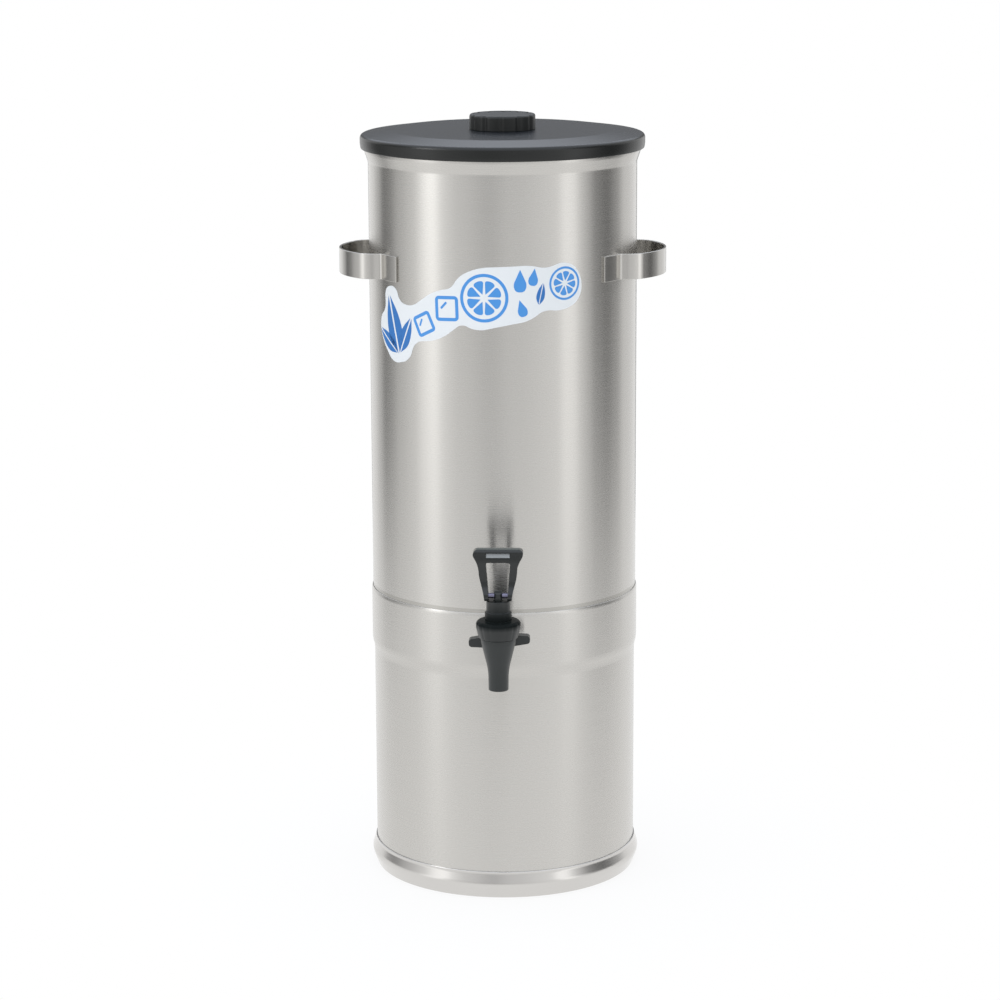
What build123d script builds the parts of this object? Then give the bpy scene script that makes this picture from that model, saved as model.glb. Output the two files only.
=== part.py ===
from build123d import *
import os
from math import cos, pi, radians, sin, sqrt

# Iced tea dispenser, in millimetres. The origin is on the tank's axis at the base, +Z is up,
# and the faucet is at the front, towards -Y. A depth is a distance from the axis to the front.

# Tank and base sheet metal
SHEET = 1.0
TANK_RADIUS = 119.0
TANK_TOP = 666.7
TANK_FOOT = 212.0
MOUTH_BAND = 21.7
MOUTH_STEP = 3.5
MOUTH_STEP_HIGH = 10.2
MOUTH_CURL = 3.0
FLOOR_FLANGE = 12.0
FLOOR_CROWN = 3.5
FLOOR_SLOPE = 8.0
FLOOR_BEND = 8.0
SEAM_RISE = 21.0
SKIRT_NECK = 1.9
SKIRT_NECK_HIGH = 6.0
WELD_FIT = 0.1

# Base ring
RING_TOP = 24.2
RING_LIP = 2.0
RING_BULGE = 4.0
RING_BULGE_TOP = 14.0
RING_BULGE_LOW = 11.0
RING_FOOT_IN = 0.2
RING_FOOT_FLANGE = 5.0
SKIRT_FOOT = 13.6
SEAT_GAP = 0.3

# Strap handles
STRAP_THICK = 2.0
STRAP_WIDE = 22.6
STRAP_DROP = 107.9
STRAP_REACH = 26.4
STRAP_HALF_SPAN = 48.0
STRAP_CORNER = 19.0
STRAP_SIDE_ARC = 64.0
STRAP_ROOT_BEND = 4.0
TAB_ANGLE = 34.6
HANDLE_AZIMUTH = 83.0

# Lid
LID_PLATE = 3.5
LID_RISE = 5.5
LID_RIM_RISE = 2.4
LID_RIM_DROP = 10.3
LID_RIM_GAP = 0.5
LID_WALL = 2.3
LID_DRAFT = 0.7
LID_DRAFT_HIGH = 4.0
LID_EDGE = 2.7
LID_SLOPE_WIDE = 28.0
PLUG_GAP = 2.6
PLUG_WALL = 3.2
PLUG_DEEP = 16.5
LID_GAP = 0.3

# Lid knob and its screw
KNOB_RADIUS = 29.3
KNOB_HIGH = 13.5
KNOB_EDGE = 1.8
KNOB_ROOF = 3.5
KNOB_GRIPS = 12
KNOB_GRIP_DEEP = 1.1
KNOB_GRIP_RADIUS = 5.0
SCREW_RADIUS = 2.9
SCREW_HEAD = 5.2
SCREW_HEAD_HIGH = 3.0
SCREW_LONG = 11.0
SCREW_HEAD_FLAT = 3.4
SCREW_HEAD_RIM = 1.6
SCREW_TIP = 1.0
SCREW_SLOT_LONG = 6.4
SCREW_SLOT_WIDE = 1.2
SCREW_SLOT_DEEP = 1.5
WASHER_THICK = 1.2
WASHER_RIM = 7.5
HOLE_GAP = 0.3
THREAD_GAP = 0.1

# Faucet: places
FAUCET_REACH = 48.0
SHANK_RISE = 19.0
SPOUT_DROP = 36.5

# Faucet: inlet line through the wall
SHANK_RADIUS = 8.0
SHANK_BORE = 4.6
SHANK_INSIDE = 19.0
SHANK_FLANGE_FLATS = 25.0
SHANK_FLANGE = 4.3
COUPLING_RADIUS = 9.5
COUPLING_LONG = 10.0
OUTER_WASHER_RADIUS = 15.0
OUTER_WASHER_THICK = 2.5
INNER_WASHER_RADIUS = 13.0
INNER_WASHER_THICK = 3.9
NUT_FLATS = 24.0
NUT_THICK = 6.0
NUT_CROWN = 1.8
NUT_CROWN_HIGH = 1.0
GASKET_THICK = 1.5
TAIL_FLANGE = 3.0
TAIL_RADIUS = 7.5
WING_NUT_RADIUS = 12.5
WING_NUT_LIP = 4.0
WING_NUT_EDGE = 1.2
WING_TIP = 26.6
WING_HIGH = 7.5
WING_DEEP = 9.0
WING_ROOT = 11.0
WING_SUNK = 1.5
WING_CORNER = 2.5
WING_FORWARD = 3.0
WING_TURN = 3.5

# Faucet: body and bonnet
BODY_RADIUS = 15.2
SHOULDER_RISE = 10.0
SHOULDER_BAND = 3.0
BODY_THREAD = 13.3
BODY_THREAD_LONG = 9.2
WAIST_DROP = 19.0
WAIST_RADIUS = 8.8
SPOUT_RADIUS = 8.6
SPOUT_BORE = 6.8
SEAT_DROP = 7.0
SEAT_LIFT = 0.9
CHAMBER_RADIUS = 10.2
SEAT_CONE = 3.0
BONNET_RADIUS = 19.3
BONNET_SKIRT_RADIUS = 16.8
BONNET_CAP = 6.1
BONNET_BAND = 6.0
BONNET_EDGE = 2.0
BONNET_CROWN = 0.4
BONNET_GRIPS = 16
BONNET_GRIP_RADIUS = 1.6
BONNET_GRIP_DEEP = 0.4
NECK_RADIUS = 10.2
NECK_HIGH = 17.7
NECK_EDGE = 0.4
NECK_FOOT_RADIUS = 11.6
NECK_FOOT_HIGH = 7.5
NECK_FOOT_EDGE = 1.0
NECK_WALL = 4.0
SPRING_ROOM = 8.0

# Faucet: stem, cup, spring and pin
STEM_RADIUS = 4.5
STEM_EYE_WIDE = 6.6
STEM_FOOT_RADIUS = 6.6
STEM_FOOT_THICK = 2.2
STEM_BUTTON_RADIUS = 2.6
STEM_BUTTON_LONG = 1.8
CUP_RADIUS = 8.6
CUP_WALL = 1.2
CUP_SOLE = 3.1
CUP_SOLE_EDGE = 2.2
CUP_RIM_THICK = 1.6
CUP_RIM_RADIUS = 13.0
SPRING_WIRE = 1.2
SPRING_MEAN = 5.8
SPRING_TURNS = 5
SPRING_WIRE_SIDES = 6
PIN_RADIUS = 2.25
PIN_RISE = 4.0
PIN_FIT = 0.025
PIN_SHY = 0.4
PIN_EDGE = 0.3
RUNNING_FIT = 0.05

# Lever handle
LEVER_TILT = 50.0
CAM_LEAD = 4.58
CAM_GAP = 0.3
CAM_OVERRUN = 6.0
LEG_INSIDE_LOW = 7.8
LEG_OUTSIDE_LOW = 11.6
LEG_INSIDE_HIGH = 10.6
LEG_OUTSIDE_HIGH = 16.5
LEG_DEEP = 9.0
LEG_KNEE = 18.0
BAR_LOW = 30.1
BAR_TOP = 41.6
BAR_HALF = 21.5
BAR_DEEP = 12.0
BAR_CORNER = 5.0
BAR_SHOULDER = 36.0
BAR_BACK_CUT = 1.5
LEG_BACK_CUT = 1.2
LEG_BEND_DROP = 9.0
LEG_BEND = 8.0
TOE_RISE = 2.6
TOE_BACK = 0.4
TOE_ROUND = 1.6
INSTEP_RISE = 10.0
INSTEP_ROUND = 6.0
HEEL_RISE = 6.0
HEEL_ROUND = 2.5
BAR_FRONT_ROUND = 4.0
BAR_BACK_ROUND = 2.5
SHOULDER_ROUND = 2.0
KNEE_ROUND = 6.0
WINDOW_ROUND = 2.0
DISH_WIDE = 21.0
DISH_HIGH = 5.0
DISH_DEEP = 2.0

# Cutters: how far they run past a face, and a length that passes through any faucet piece
OVERLAP = 1.0
CUTTER = 120.0

# Places worked out from the sizes above
TANK_BORE = TANK_RADIUS - SHEET
FLOOR_LEVEL = TANK_FOOT + FLOOR_FLANGE
SHANK_LEVEL = FLOOR_LEVEL + SHANK_RISE
SEAM_LEVEL = SHANK_LEVEL + SEAM_RISE
STRAP_LEVEL = TANK_TOP - STRAP_DROP
MOUTH_RADIUS = TANK_RADIUS + MOUTH_STEP
SKIRT_BORE = TANK_RADIUS + WELD_FIT
SKIRT_RADIUS = SKIRT_BORE + SHEET
SKIRT_LOW_RADIUS = SKIRT_RADIUS - SKIRT_NECK
FAUCET_DEPTH = TANK_RADIUS + FAUCET_REACH
WASHER_FACE = SKIRT_RADIUS + OUTER_WASHER_THICK
FLANGE_FACE = WASHER_FACE + SHANK_FLANGE
COUPLING_FACE = FLANGE_FACE + COUPLING_LONG
GASKET_FACE = COUPLING_FACE + GASKET_THICK
TAIL_FACE = GASKET_FACE + TAIL_FLANGE
NUT_FACE = TANK_BORE - INNER_WASHER_THICK
SPOUT_LOW = SHANK_LEVEL - SPOUT_DROP
WAIST_LEVEL = SHANK_LEVEL - WAIST_DROP
SEAT_LEVEL = SHANK_LEVEL - SEAT_DROP
CHAMBER_LOW = SEAT_LEVEL + SEAT_CONE
BODY_SHOULDER = SHANK_LEVEL + SHOULDER_RISE
BODY_RIM = BODY_SHOULDER + BODY_THREAD_LONG
BONNET_TOP = BODY_RIM + BONNET_CAP
NECK_TOP = BONNET_TOP + NECK_HIGH
CUP_LOW = SEAT_LEVEL + SEAT_LIFT
CUP_FLOOR = CUP_LOW + CUP_SOLE
STEM_FOOT = CUP_FLOOR + SEAT_GAP
SPRING_LOW = STEM_FOOT + STEM_FOOT_THICK + SEAT_GAP
SPRING_HIGH = NECK_TOP - NECK_WALL - SEAT_GAP
CLAMP_LEVEL = BODY_RIM + CUP_RIM_THICK
PIN_LEVEL = NECK_TOP + PIN_RISE
LID_SEAT = TANK_TOP + LID_GAP
LID_TOP = LID_SEAT + LID_RISE
LID_RIM_TOP = LID_SEAT + LID_RIM_RISE
LID_RIM_LOW = LID_SEAT - LID_RIM_DROP
LID_RIM_BORE = MOUTH_RADIUS + LID_RIM_GAP
LID_RADIUS = LID_RIM_BORE + LID_WALL + LID_DRAFT
LID_UNDER = LID_TOP - LID_PLATE


def rounded(sketch, corners):
    """Rounds the sketch's corner nearest to each (x, y) by its radius."""
    for x, y, radius in corners:
        corner = sketch.vertices().sort_by_distance(Vector(x, y, 0))[0]
        sketch = fillet(corner, radius)
    return sketch


def outline(points, corners=()):
    """A flat face through the points, with some corners rounded."""
    return rounded(make_face(Polyline(*points, close=True)), corners)


def turned(points):
    """A solid of revolution about Z, from an outline in radius and height."""
    return revolve(Plane.XZ * outline(points), Axis.Z)


def to_front(part):
    """Lays a part that was turned about Z on the inlet line, its height becoming depth."""
    return Pos(0, 0, SHANK_LEVEL) * Rot(90, 0, 0) * part


def at_faucet(part):
    """Stands a part that was turned about Z on the faucet's own axis."""
    return Pos(0, -FAUCET_DEPTH, 0) * part


def sideways(sketch, half_long):
    """Extrudes an outline in Y and Z along X, evenly to both sides."""
    return extrude(Plane.YZ * sketch, half_long, both=True)


def shank_hole():
    """The cutter for the shank's hole through the front walls."""
    reach = 2 * SHANK_INSIDE
    hole = Pos(0, 0, TANK_RADIUS) * Cylinder(SHANK_RADIUS + HOLE_GAP, reach)
    return to_front(hole)


def tank_wall():
    band = TANK_TOP - MOUTH_BAND
    step = band + MOUTH_STEP_HIGH
    collar = MOUTH_RADIUS - SHEET
    curl = MOUTH_RADIUS - MOUTH_CURL
    bevel = MOUTH_CURL / 3
    points = [
        (TANK_BORE, TANK_FOOT),
        (TANK_RADIUS, TANK_FOOT),
        (TANK_RADIUS, band),
        (MOUTH_RADIUS, step),
        (MOUTH_RADIUS, TANK_TOP - bevel),
        (MOUTH_RADIUS - bevel, TANK_TOP),
        (curl, TANK_TOP),
        (curl, TANK_TOP - MOUTH_CURL),
        (collar, TANK_TOP - MOUTH_CURL),
        (collar, step),
        (TANK_BORE, band),
    ]
    return turned(points) - shank_hole()


def tank_floor():
    radius = TANK_BORE - WELD_FIT
    inside = radius - SHEET
    under = FLOOR_LEVEL - SHEET
    centre = FLOOR_LEVEL + FLOOR_CROWN
    slope = radius - FLOOR_BEND
    points = [
        (0, centre),
        (slope - FLOOR_SLOPE, centre),
        (slope, FLOOR_LEVEL),
        (radius, FLOOR_LEVEL - FLOOR_BEND / 2),
        (radius, TANK_FOOT),
        (inside, TANK_FOOT),
        (inside, under - FLOOR_BEND / 2),
        (slope, under),
        (slope - FLOOR_SLOPE, centre - SHEET),
        (0, centre - SHEET),
    ]
    return turned(points)


def base_skirt():
    shoulder = TANK_FOOT - SEAT_GAP
    neck = shoulder - SKIRT_NECK_HIGH
    points = [
        (SKIRT_LOW_RADIUS - SHEET, SKIRT_FOOT),
        (SKIRT_LOW_RADIUS, SKIRT_FOOT),
        (SKIRT_LOW_RADIUS, neck),
        (SKIRT_RADIUS, shoulder),
        (SKIRT_RADIUS, SEAM_LEVEL),
        (SKIRT_BORE, SEAM_LEVEL),
        (SKIRT_BORE, shoulder),
        (SKIRT_LOW_RADIUS - SHEET, neck),
    ]
    return turned(points) - shank_hole()


def base_ring():
    lip = SKIRT_LOW_RADIUS + WELD_FIT
    bulge = SKIRT_LOW_RADIUS + RING_BULGE
    foot = SKIRT_LOW_RADIUS - RING_FOOT_IN
    points = [
        (lip, RING_TOP),
        (lip, RING_TOP - RING_LIP),
        (bulge - SHEET, RING_BULGE_TOP),
        (bulge - SHEET, RING_BULGE_LOW),
        (foot - SHEET, SHEET),
        (foot - RING_FOOT_FLANGE, SHEET),
        (foot - RING_FOOT_FLANGE, 0),
        (foot, 0),
        (bulge, RING_BULGE_LOW),
        (bulge, RING_BULGE_TOP),
        (lip + SHEET, RING_TOP - RING_LIP),
        (lip + SHEET, RING_TOP),
    ]
    return turned(points)


def strap_edge(shift):
    """Half of a handle's line in plan, moved outwards by shift, from the tab to the middle."""
    root = TANK_RADIUS + STRAP_THICK / 2
    leg = STRAP_HALF_SPAN - STRAP_THICK / 2
    side = TANK_RADIUS + STRAP_REACH - STRAP_THICK / 2
    corner = STRAP_CORNER - STRAP_THICK / 2
    arc = STRAP_SIDE_ARC - STRAP_THICK / 2
    bend_y = leg + STRAP_ROOT_BEND
    bend_x = sqrt((root + STRAP_ROOT_BEND) ** 2 - bend_y**2)
    bend = Vector(bend_x, -bend_y)
    meet = bend.normalized() * (root + shift)
    start = Vector(cos(radians(TAB_ANGLE)), -sin(radians(TAB_ANGLE))) * (root + shift)
    halfway = (start + meet).normalized() * (root + shift)
    top = bend + Vector(0, STRAP_ROOT_BEND - shift)
    swing = ((meet - bend).normalized() + Vector(0, 1)).normalized()
    middle = Vector(side - arc, 0)
    hub = middle + Vector(sqrt((arc - corner) ** 2 - (leg - corner) ** 2), corner - leg)
    out = (hub - middle).normalized()
    slant = (out + Vector(0, -1)).normalized()
    half_out = (out + Vector(1, 0)).normalized()
    return [
        ThreePointArc(start, halfway, meet),
        ThreePointArc(meet, bend + swing * (STRAP_ROOT_BEND - shift), top),
        Line(top, hub - Vector(0, corner + shift)),
        ThreePointArc(
            hub - Vector(0, corner + shift),
            hub + slant * (corner + shift),
            hub + out * (corner + shift),
        ),
        ThreePointArc(
            hub + out * (corner + shift),
            middle + half_out * (arc + shift),
            Vector(side + shift, 0),
        ),
    ]


def right_handle():
    outer = strap_edge(STRAP_THICK / 2)
    inner = strap_edge(-STRAP_THICK / 2)
    ends = [Line(inner[0] @ 0, outer[0] @ 0), Line(inner[-1] @ 1, outer[-1] @ 1)]
    half = extrude(make_face(outer + inner + ends), STRAP_WIDE)
    half = Pos(WELD_FIT, 0, STRAP_LEVEL - STRAP_WIDE / 2) * half
    return Rot(0, 0, HANDLE_AZIMUTH - 90) * (half + mirror(half, Plane.XZ))


def left_handle():
    return mirror(right_handle(), Plane.YZ)


def lid():
    plug = TANK_BORE - PLUG_GAP
    plug_low = LID_SEAT - PLUG_DEEP
    hole = SCREW_RADIUS + HOLE_GAP
    points = [
        (hole, LID_TOP),
        (LID_RADIUS - LID_SLOPE_WIDE, LID_TOP),
        (LID_RADIUS - LID_EDGE, LID_RIM_TOP),
        (LID_RADIUS, LID_RIM_TOP - LID_EDGE),
        (LID_RADIUS, LID_RIM_LOW + LID_DRAFT_HIGH),
        (LID_RADIUS - LID_DRAFT, LID_RIM_LOW),
        (LID_RIM_BORE, LID_RIM_LOW),
        (LID_RIM_BORE, LID_SEAT),
        (plug, LID_SEAT),
        (plug, plug_low),
        (plug - PLUG_WALL, plug_low),
        (plug - PLUG_WALL, LID_UNDER),
        (hole, LID_UNDER),
    ]
    return turned(points)


def lid_knob():
    top = LID_TOP + KNOB_HIGH
    hole = SCREW_RADIUS + THREAD_GAP
    points = [
        (hole, LID_TOP),
        (KNOB_RADIUS, LID_TOP),
        (KNOB_RADIUS, top - KNOB_EDGE),
        (KNOB_RADIUS - KNOB_EDGE, top),
        (0, top),
        (0, top - KNOB_ROOF),
        (hole, top - KNOB_ROOF),
    ]
    knob = turned(points)
    groove = Pos(KNOB_RADIUS + KNOB_GRIP_RADIUS - KNOB_GRIP_DEEP, 0, LID_TOP + KNOB_HIGH / 2)
    grips = PolarLocations(0, KNOB_GRIPS)
    cutter = groove * Cylinder(KNOB_GRIP_RADIUS, 2 * KNOB_HIGH)
    return knob - [place * cutter for place in grips]


def knob_washer():
    low = LID_UNDER - WASHER_THICK
    hole = SCREW_RADIUS + HOLE_GAP
    return turned([(hole, low), (WASHER_RIM, low), (WASHER_RIM, LID_UNDER), (hole, LID_UNDER)])


def knob_screw():
    seat = LID_UNDER - WASHER_THICK
    head = seat - SCREW_HEAD_HIGH
    tip = seat + SCREW_LONG
    points = [
        (0, head),
        (SCREW_HEAD_FLAT, head),
        (SCREW_HEAD, seat - SCREW_HEAD_RIM),
        (SCREW_HEAD, seat),
        (SCREW_RADIUS, seat),
        (SCREW_RADIUS, tip - SCREW_TIP),
        (SCREW_RADIUS - SCREW_TIP, tip),
        (0, tip),
    ]
    screw = turned(points)
    slot = Box(SCREW_SLOT_LONG, SCREW_SLOT_WIDE, 2 * SCREW_SLOT_DEEP)
    return screw - Pos(0, 0, head) * (slot + Rot(0, 0, 90) * slot)


def outer_washer():
    washer = Pos(0, 0, WASHER_FACE) * Cylinder(
        OUTER_WASHER_RADIUS, 3 * OUTER_WASHER_THICK, align=(Align.CENTER, Align.CENTER, Align.MAX)
    )
    washer = to_front(washer) - Pos(0, 0, SHANK_LEVEL) * Cylinder(SKIRT_RADIUS + SEAT_GAP, CUTTER)
    return washer - shank_hole()


def inner_washer():
    washer = Pos(0, 0, NUT_FACE) * Cylinder(
        INNER_WASHER_RADIUS, 3 * INNER_WASHER_THICK, align=(Align.CENTER, Align.CENTER, Align.MIN)
    )
    washer = to_front(washer) & Pos(0, 0, SHANK_LEVEL) * Cylinder(TANK_BORE - SEAT_GAP, CUTTER)
    return washer - shank_hole()


def hexagon(flats, low, high):
    """A hexagonal prism about Z, two of its flats facing X."""
    plan = Rot(0, 0, 30) * RegularPolygon(flats / 2, 6, major_radius=False)
    return extrude(Pos(0, 0, low) * plan, high - low)


def lock_nut():
    nut = hexagon(NUT_FLATS, NUT_FACE - NUT_THICK, NUT_FACE)
    corner = NUT_FLATS / sqrt(3)
    trim = turned(
        [
            (0, NUT_FACE),
            (corner, NUT_FACE),
            (corner, NUT_FACE - NUT_THICK + NUT_CROWN_HIGH),
            (corner - NUT_CROWN, NUT_FACE - NUT_THICK),
            (0, NUT_FACE - NUT_THICK),
        ]
    )
    bore = Pos(0, 0, NUT_FACE) * Cylinder(SHANK_RADIUS + THREAD_GAP, 4 * NUT_THICK)
    return to_front((nut & trim) - bore)


def shank():
    tail = Pos(0, 0, TANK_RADIUS - SHANK_INSIDE)
    barrel = tail * Cylinder(
        SHANK_RADIUS, WASHER_FACE - TANK_RADIUS + SHANK_INSIDE + OVERLAP,
        align=(Align.CENTER, Align.CENTER, Align.MIN),
    )
    coupling = Pos(0, 0, FLANGE_FACE) * Cylinder(
        COUPLING_RADIUS, COUPLING_LONG, align=(Align.CENTER, Align.CENTER, Align.MIN)
    )
    flange = hexagon(SHANK_FLANGE_FLATS, WASHER_FACE, FLANGE_FACE)
    bore = Pos(0, 0, TANK_RADIUS) * Cylinder(SHANK_BORE, CUTTER)
    return to_front(barrel + flange + coupling - bore)


def tail_gasket():
    hole = SHANK_BORE + HOLE_GAP
    rim = COUPLING_RADIUS - HOLE_GAP
    return to_front(
        turned([(hole, COUPLING_FACE), (rim, COUPLING_FACE), (rim, GASKET_FACE), (hole, GASKET_FACE)])
    )


def wing_nut():
    back = FLANGE_FACE + 2 * SEAT_GAP
    front = TAIL_FACE + WING_NUT_LIP
    bore = COUPLING_RADIUS + THREAD_GAP
    neck = TAIL_RADIUS + THREAD_GAP
    barrel = turned(
        [
            (bore, back),
            (WING_NUT_RADIUS, back),
            (WING_NUT_RADIUS, front - WING_NUT_EDGE),
            (WING_NUT_RADIUS - WING_NUT_EDGE, front),
            (neck, front),
            (neck, TAIL_FACE),
            (bore, TAIL_FACE),
        ]
    )
    middle = (back + front) / 2 + WING_FORWARD
    root = WING_NUT_RADIUS - WING_SUNK
    wing = outline(
        [
            (root, -WING_ROOT / 2),
            (WING_TIP, -WING_HIGH / 2),
            (WING_TIP, WING_HIGH / 2),
            (root, WING_ROOT / 2),
        ],
        [(WING_TIP, side * WING_HIGH / 2, WING_CORNER) for side in (-1, 1)],
    )
    wing = extrude(Pos(0, 0, middle - WING_DEEP / 2) * wing, WING_DEEP)
    wing -= Pos(0, 0, middle) * Cylinder(bore, CUTTER)
    return to_front(Rot(0, 0, WING_TURN) * (barrel + wing + Rot(0, 0, 180) * wing))


def faucet_body():
    chamber = at_faucet(
        turned(
            [
                (0, SPOUT_LOW),
                (SPOUT_RADIUS, SPOUT_LOW),
                (WAIST_RADIUS, WAIST_LEVEL),
                (BODY_RADIUS, BODY_SHOULDER - SHOULDER_BAND),
                (BODY_RADIUS, BODY_SHOULDER),
                (BODY_THREAD, BODY_SHOULDER),
                (BODY_THREAD, BODY_RIM),
                (0, BODY_RIM),
            ]
        )
    )
    tail = to_front(
        turned(
            [
                (0, GASKET_FACE),
                (COUPLING_RADIUS - THREAD_GAP, GASKET_FACE),
                (COUPLING_RADIUS - THREAD_GAP, TAIL_FACE),
                (TAIL_RADIUS, TAIL_FACE),
                (TAIL_RADIUS, FAUCET_DEPTH),
                (0, FAUCET_DEPTH),
            ]
        )
    )
    waterway = at_faucet(
        turned(
            [
                (0, SPOUT_LOW - OVERLAP),
                (SPOUT_BORE, SPOUT_LOW - OVERLAP),
                (SPOUT_BORE, SEAT_LEVEL),
                (CHAMBER_RADIUS, CHAMBER_LOW),
                (CHAMBER_RADIUS, BODY_RIM + OVERLAP),
                (0, BODY_RIM + OVERLAP),
            ]
        )
    )
    inlet_long = FAUCET_DEPTH - GASKET_FACE
    inlet = to_front(
        Pos(0, 0, GASKET_FACE - OVERLAP)
        * Cylinder(SHANK_BORE, inlet_long, align=(Align.CENTER, Align.CENTER, Align.MIN))
    )
    return chamber + tail - waterway - inlet


def faucet_bonnet():
    shoulder = BONNET_TOP - BONNET_BAND
    low = BODY_SHOULDER + SEAT_GAP
    shell = turned(
        [
            (BODY_THREAD + THREAD_GAP, low),
            (BONNET_SKIRT_RADIUS, low),
            (BONNET_RADIUS, shoulder),
            (BONNET_RADIUS, BONNET_TOP - BONNET_EDGE),
            (BONNET_RADIUS - BONNET_EDGE, BONNET_TOP),
            (NECK_FOOT_RADIUS, BONNET_TOP + BONNET_CROWN),
            (NECK_FOOT_RADIUS, BONNET_TOP + NECK_FOOT_HIGH),
            (NECK_RADIUS, BONNET_TOP + NECK_FOOT_HIGH + NECK_FOOT_EDGE),
            (NECK_RADIUS, NECK_TOP - NECK_EDGE),
            (NECK_RADIUS - NECK_EDGE, NECK_TOP),
            (STEM_RADIUS + RUNNING_FIT, NECK_TOP),
            (STEM_RADIUS + RUNNING_FIT, NECK_TOP - NECK_WALL),
            (SPRING_ROOM, NECK_TOP - NECK_WALL),
            (SPRING_ROOM, CLAMP_LEVEL),
            (BODY_THREAD + THREAD_GAP, CLAMP_LEVEL),
        ]
    )
    flute_out = BONNET_RADIUS + BONNET_GRIP_RADIUS - BONNET_GRIP_DEEP
    flute = Pos(flute_out, 0, shoulder) * Cylinder(BONNET_GRIP_RADIUS, 4 * BONNET_BAND)
    return at_faucet(shell - [place * flute for place in PolarLocations(0, BONNET_GRIPS)])


def valve_stem():
    shaft_low = STEM_FOOT + STEM_FOOT_THICK
    tip = PIN_LEVEL + STEM_RADIUS
    stem = turned(
        [
            (0, STEM_FOOT - STEM_BUTTON_LONG),
            (STEM_BUTTON_RADIUS, STEM_FOOT - STEM_BUTTON_LONG),
            (STEM_BUTTON_RADIUS, STEM_FOOT),
            (STEM_FOOT_RADIUS, STEM_FOOT),
            (STEM_FOOT_RADIUS, shaft_low),
            (STEM_RADIUS, shaft_low),
            (STEM_RADIUS, tip),
            (0, tip),
        ]
    )
    eye_low = NECK_TOP + SEAT_GAP
    keep_low = Pos(0, 0, eye_low) * Cylinder(
        2 * STEM_RADIUS, CUTTER, align=(Align.CENTER, Align.CENTER, Align.MAX)
    )
    eye = Pos(0, 0, PIN_LEVEL) * Rot(0, 90, 0) * Cylinder(STEM_RADIUS, STEM_EYE_WIDE)
    cheek = Pos(0, 0, (eye_low + PIN_LEVEL) / 2) * Box(
        STEM_EYE_WIDE, 2 * STEM_RADIUS, PIN_LEVEL - eye_low
    )
    hole = Pos(0, 0, PIN_LEVEL) * Rot(0, 90, 0) * Cylinder(PIN_RADIUS + PIN_FIT, 4 * STEM_RADIUS)
    return at_faucet((stem & (keep_low + eye + cheek)) - hole)


def seat_cup():
    inside = CUP_RADIUS - CUP_WALL
    socket = STEM_BUTTON_RADIUS + THREAD_GAP
    return at_faucet(
        turned(
            [
                (0, CUP_LOW),
                (CUP_RADIUS - CUP_SOLE_EDGE, CUP_LOW),
                (CUP_RADIUS, CUP_LOW + CUP_SOLE_EDGE),
                (CUP_RADIUS, BODY_RIM),
                (CUP_RIM_RADIUS, BODY_RIM),
                (CUP_RIM_RADIUS, CLAMP_LEVEL),
                (inside, CLAMP_LEVEL),
                (inside, CUP_FLOOR),
                (socket, CUP_FLOOR),
                (socket, CUP_FLOOR - STEM_BUTTON_LONG),
                (0, CUP_FLOOR - STEM_BUTTON_LONG),
            ]
        )
    )


def lever_pin():
    half = LEG_OUTSIDE_LOW - PIN_SHY
    pin = sideways(Circle(PIN_RADIUS), half)
    return Pos(0, -FAUCET_DEPTH, PIN_LEVEL) * chamfer(pin.edges(), PIN_EDGE)


def cam_point(angle):
    """A point of the cam, whose reach below the pin grows evenly with the handle's tilt."""
    reach = PIN_RISE - CAM_GAP + CAM_LEAD * angle
    return Vector(
        -reach * sin(angle) - CAM_LEAD * cos(angle), -reach * cos(angle) + CAM_LEAD * sin(angle)
    )


def lever_side():
    """The handle's side outline in Y and Z, with the pin at its origin."""
    last = radians(LEVER_TILT + CAM_OVERRUN)
    steps = 6
    cam = Spline(
        *[cam_point(last * step / steps) for step in range(steps + 1)],
        tangents=[(-1, 0), (-cos(last), sin(last))],
    )
    toe = cam_point(last)
    half = LEG_DEEP / 2
    bar = BAR_DEEP / 2
    bar_back = bar - BAR_BACK_CUT
    leg_back = half - LEG_BACK_CUT
    bend = BAR_LOW - LEG_BEND_DROP
    back = Polyline(
        toe,
        (toe.X - TOE_BACK, toe.Y + TOE_RISE),
        (-half, INSTEP_RISE),
        (-half, bend),
        (-bar, BAR_LOW),
        (-bar, BAR_TOP),
        (bar_back, BAR_TOP),
        (bar_back, BAR_LOW),
        (leg_back, bend),
        (half, HEEL_RISE),
        (half, CAM_GAP - PIN_RISE),
        cam_point(0),
    )
    side = make_face([cam, back])
    corners = [
        (toe.X - TOE_BACK, toe.Y + TOE_RISE, TOE_ROUND),
        (-half, INSTEP_RISE, INSTEP_ROUND),
        (-half, bend, LEG_BEND),
        (-bar, BAR_TOP, BAR_FRONT_ROUND),
        (bar_back, BAR_TOP, BAR_BACK_ROUND),
        (leg_back, bend, LEG_BEND),
        (half, CAM_GAP - PIN_RISE, HEEL_ROUND),
    ]
    return rounded(side, corners)


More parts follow.
